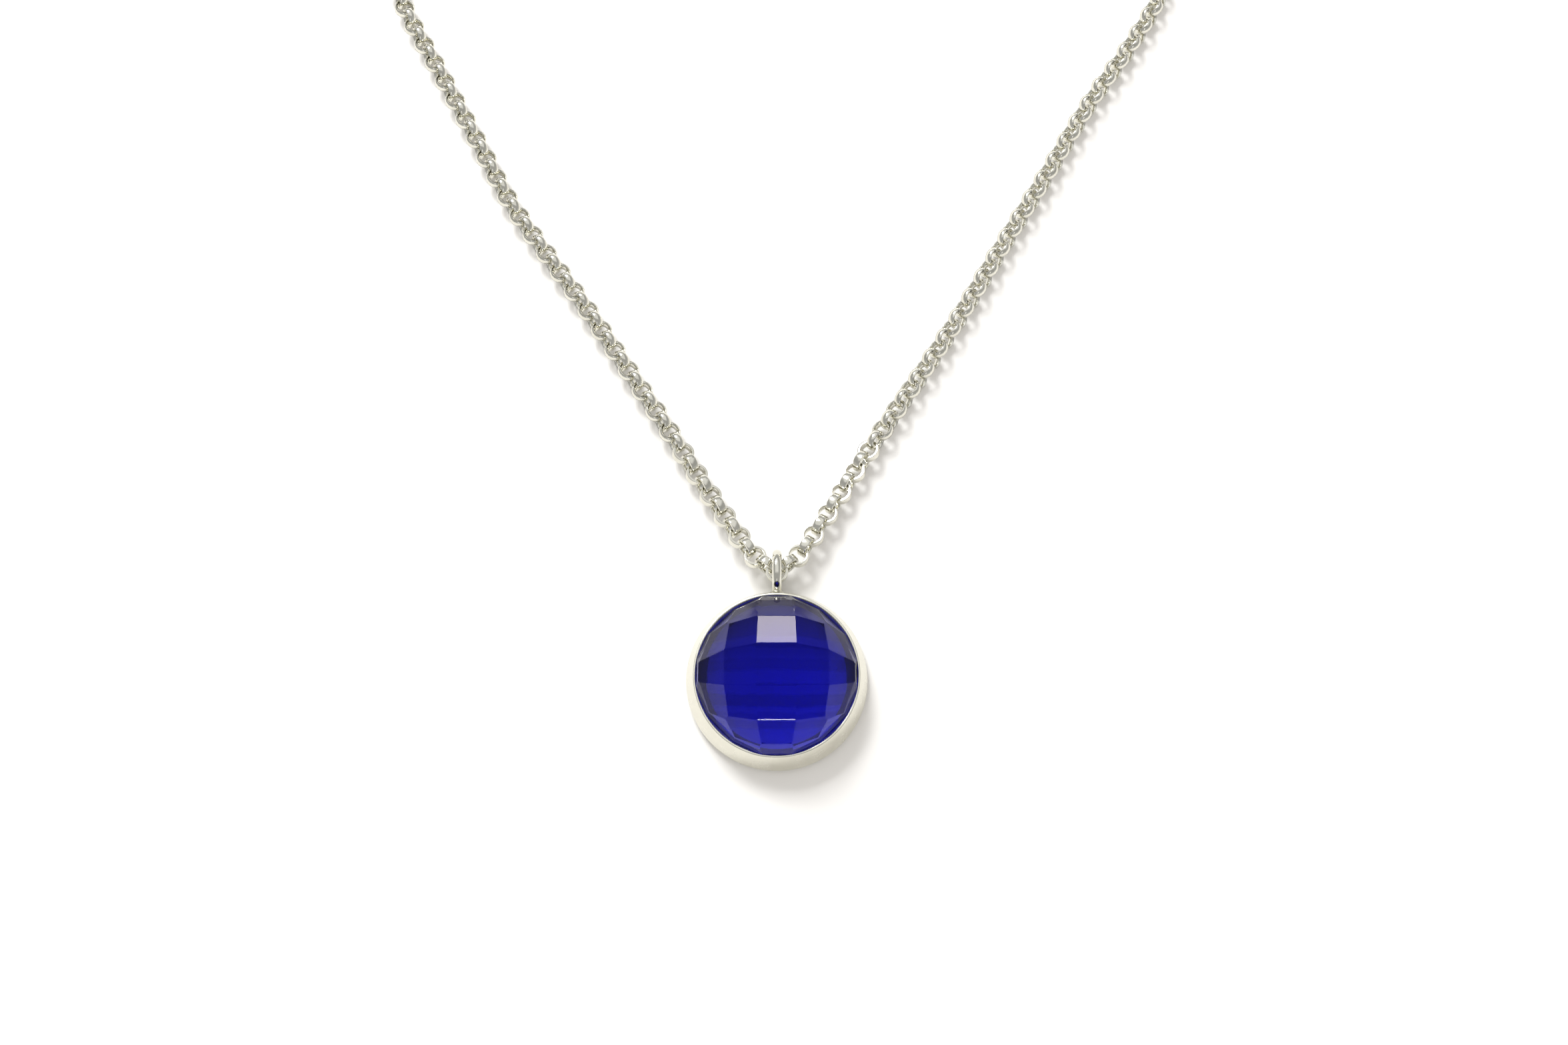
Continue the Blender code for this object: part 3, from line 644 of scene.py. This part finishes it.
def bevelled(name, part, body, material, edge):
    # a CAD part's merged copy with every edge sharper than angle rounded over width; edge is
    # (width in mm, angle, smoothing angle), and a smoothing angle of 0 leaves the faces flat
    width, angle, smooth = edge
    work = merged(part)
    sharp = math.radians(angle)
    edges = [e for e in work.edges if len(e.link_faces) == 2 and e.calc_face_angle(0) > sharp]
    bmesh.ops.bevel(
        work, geom=edges, offset=width * mm, segments=2, profile=0.5, affect="EDGES", clamp_overlap=True
    )
    bmesh.ops.recalc_face_normals(work, faces=work.faces)
    mesh = bpy.data.meshes.new(name)
    work.to_mesh(mesh)
    work.free()
    mesh.materials.append(material)
    if smooth:
        mesh.shade_smooth()
        mesh.set_sharp_from_angle(angle=math.radians(smooth))
    made = bpy.data.objects.new(name, mesh)
    bpy.context.scene.collection.objects.link(made)
    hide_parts(part)
    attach(made, body)
    return made


clasp = {
    "ringWire": 0.5,
    "around": 72,
    "section": 20,
    "bodyEdges": (0.11, 35.0, 50.0),
    "leverEdges": (0.05, 35.0, 50.0),
}


def makeRing(name, part, body, c, material):
    # a round-wire ring about the CAD ring's own axis, the direction in which its points spread least
    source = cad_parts[part]
    flat = np.empty(len(source.data.vertices) * 3, np.float32)
    source.data.vertices.foreach_get("co", flat)
    turn = np.array(source.matrix_world)
    cloud = (flat.reshape(-1, 3) @ turn[:3, :3].T + turn[:3, 3]) / mm
    centre = (cloud.min(0) + cloud.max(0)) / 2
    axes = np.linalg.eigh(np.cov((cloud - centre).T))[1][:, ::-1]
    axes[:, 2] = np.cross(axes[:, 0], axes[:, 1])
    outer = np.linalg.norm(cloud - centre, axis=1).max()
    v = 2 * np.pi * np.arange(c["section"]) / c["section"]
    thick = c["ringWire"] / 2
    shape = ringPoints(outer - thick, thick * np.cos(v), thick * np.sin(v), c["around"])
    points = centre + shape.reshape(-1, 3) @ axes.T
    made = addMesh(name, points * mm, gridFaces(c["around"], c["section"]), material, smooth=60.0)
    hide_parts(part)
    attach(made, body)
    return made


studio = {
    "floor": (0.93, 0.925, 0.91),
    "soft": (0.76, 0.735, 0.71),  # light that falls on everything from all round
    "polishedDark": 0.42,  # what polished metal mirrors to the sides and overhead
    "polishedNorth": 0.42,  # the broad reflector towards the clasp
    "lampsInMetal": 0.03,  # how much of the two lamps below polished metal mirrors
    "glassDark": 0.2,
    "windowNorth": 15.0,  # the window mirrored in the stone's upper facet
    "windowColour": (0.88, 0.84, 0.80),
    "stripSouth": 30.0,  # the lamp mirrored in one facet edge
    "horizon": 0.12,
    "throughGlass": 0.75,
    # lamps as (range of north, reach of east, edge of each)
    "reflectorAt": ((-0.12, 1.3), 0.7, 0.15, 0.35),
    "windowAt": ((1.35, 2.25), 0.5, 0.08, 0.08),
    "stripAt": ((-2.6, -1.05), 0.14, 0.1, 0.05),
    "horizonAt": (0.22, 0.15),  # height of the pale horizon and its edge
    "key": 4.4,
    "keyAt": (-0.22, 0.49, 0.53),
    "keyAim": (0, 0.02, 0),
    "keySize": (0.26, 0.26),
    "floorHalf": 1.5,
    "floorDrop": 0.00002,
    "floorRoughness": 0.6,
    "floorGrain": 240.0,
    "floorShade": 0.985,
}


def areaLight(name, place, aim, size, power, colour=(1.0, 1.0, 1.0)):
    # a rectangular lamp at place that faces aim
    data = bpy.data.lights.new(name, "AREA")
    data.shape = "RECTANGLE"
    data.size, data.size_y = size
    data.energy = power
    data.color = colour
    made = bpy.data.objects.new(name, data)
    made.location = place
    made.rotation_euler = (Vector(aim) - Vector(place)).to_track_quat("-Z", "Y").to_euler()
    bpy.context.scene.collection.objects.link(made)
    return made


def window(tree, value, low, high, edge):
    # 1 between low and high, falling to 0 over edge on each side
    up = maths(tree, "MULTIPLY_ADD", value, 1 / edge, clamp=True)
    up.node.inputs[2].default_value = (edge - low) / edge
    down = maths(tree, "MULTIPLY_ADD", value, -1 / edge, clamp=True)
    down.node.inputs[2].default_value = (high + edge) / edge
    return maths(tree, "MULTIPLY", up, down)


def makeWorld(s):
    # soft light for matt surfaces, and a room of dark walls and lamps for what metal and stone mirror;
    # north is y / z towards the clasp and east is |x| / z, so a lamp is a range of both
    world = bpy.data.worlds.new("studio")
    world.use_nodes = True
    tree = world.node_tree
    split = tree.nodes.new("ShaderNodeSeparateXYZ")
    tree.links.new(tree.nodes.new("ShaderNodeTexCoord").outputs["Generated"], split.inputs[0])
    x, y, z = split.outputs
    up = maths(tree, "MAXIMUM", z, 0.02)
    north = maths(tree, "DIVIDE", y, up)
    east = maths(tree, "DIVIDE", maths(tree, "ABSOLUTE", x), up)

    def lamp(at, power):
        # power inside both ranges, falling to 0 over their edges
        rows, reach, northEdge, eastEdge = at
        along = window(tree, north, *rows, northEdge)
        across = window(tree, east, -1.0, reach, eastEdge)
        return maths(tree, "MULTIPLY", maths(tree, "MULTIPLY", along, across), power)

    def add(first, second):
        return maths(tree, "ADD", first, second)

    reflector = lamp(s["reflectorAt"], s["polishedNorth"])
    lamps = add(lamp(s["windowAt"], s["windowNorth"]), lamp(s["stripAt"], s["stripSouth"]))
    horizon = maths(tree, "MULTIPLY", window(tree, z, -1.0, *s["horizonAt"]), s["horizon"])
    faint = add(horizon, maths(tree, "MULTIPLY", lamps, s["lampsInMetal"]))
    metal = add(add(reflector, s["polishedDark"]), faint)
    tinted = node(tree, "MixRGB", blend_type="MULTIPLY", Fac=1.0)
    tree.links.new(lamps, tinted.inputs["Color1"])
    tinted.inputs["Color2"].default_value = (*s["windowColour"], 1.0)
    glass = node(tree, "MixRGB", blend_type="ADD", Fac=1.0)
    tree.links.new(add(horizon, s["glassDark"]), glass.inputs["Color1"])
    tree.links.new(tinted.outputs["Color"], glass.inputs["Color2"])
    rays = tree.nodes.new("ShaderNodeLightPath").outputs
    mirrored = blendColour(tree, rays["Is Singular Ray"], metal, glass.outputs["Color"])
    seen = blendColour(tree, rays["Is Glossy Ray"], s["soft"], mirrored)
    seen = blendColour(tree, rays["Is Transmission Ray"], seen, (s["throughGlass"],) * 3)
    tree.links.new(seen, tree.nodes["Background"].inputs["Color"])
    tree.nodes["Background"].inputs["Strength"].default_value = 1.0
    bpy.context.scene.world = world


def makeStudio(s):
    # a square floor just under the necklace, the world and one key light
    made, tree, shader = newMaterial("floor")
    grain = node(tree, "TexNoise", Scale=s["floorGrain"], Detail=4.0)
    tree.links.new(tree.nodes.new("ShaderNodeTexCoord").outputs["Object"], grain.inputs["Vector"])
    pale = tuple(v * s["floorShade"] for v in s["floor"])
    shade = ramp(tree, [(0.3, pale), (0.7, s["floor"])], grain.outputs["Fac"])
    tree.links.new(shade, shader.inputs["Base Color"])
    shader.inputs["Roughness"].default_value = s["floorRoughness"]
    half = s["floorHalf"]
    corners = [(-half, -half, 0), (half, -half, 0), (half, half, 0), (-half, half, 0)]
    floor = addMesh("floor", corners, [(0, 1, 2, 3)], made, smooth=0)
    floor.location.z = -s["floorDrop"]
    makeWorld(s)
    key = areaLight("key_light", s["keyAt"], s["keyAim"], s["keySize"], s["key"])
    key.visible_transmission = False
    bpy.context.scene.view_settings.view_transform = "Standard"


makeCamera(camera)
print("camera placed")
silverLink = silverMaterial("silver_link", polished)
runLeft, pathLeft, singlesLeft = makeChainHalf("left", leftRoute, rollLeft, chain, silverLink)
runRight, pathRight, singlesRight = makeChainHalf("right", rightRoute, rollRight, chain, silverLink)
makeCentreLink(chain, silverLink)
print("chain made")


satinSilver = silverMaterial("silver_satin", satin)
bezelSilver = silverMaterial("silver_bezel", satin, seat=bezel)
makeBezel(bezel, bezelSilver)
bailCentre = makeBail(bail, silverLink)
makeSolder(bailCentre, solder, silverMaterial("silver_solder", rough, grain=0.6))
bevelled("stone_cut", "stone", "pendant", stoneMaterial(sapphire), sapphire["edges"])
print("pendant made")

bodyEdges, leverEdges = clasp["bodyEdges"], clasp["leverEdges"]
claspBody = bevelled("clasp_casting", "clasp_body", "clasp", satinSilver, bodyEdges)
claspLever = bevelled("clasp_gate", "clasp_lever", "clasp_lever", satinSilver, leverEdges)
jumpRing = makeRing("jump_ring_wire", "clasp_jump_ring", "jump_ring", clasp, silverLink)
endRing = makeRing("end_ring_wire", "chain_end_ring", "end_ring", clasp, silverLink)
steelWire = silverMaterial("steel_wire", steel)
for name in ("clasp_pin", "clasp_spring"):
    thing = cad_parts[name]
    thing.data.materials.clear()
    thing.data.materials.append(steelWire)
print("clasp made")
print("cords declared", pathLength(pathLeft), pathLength(pathRight))

makeStudio(studio)
print("studio made")
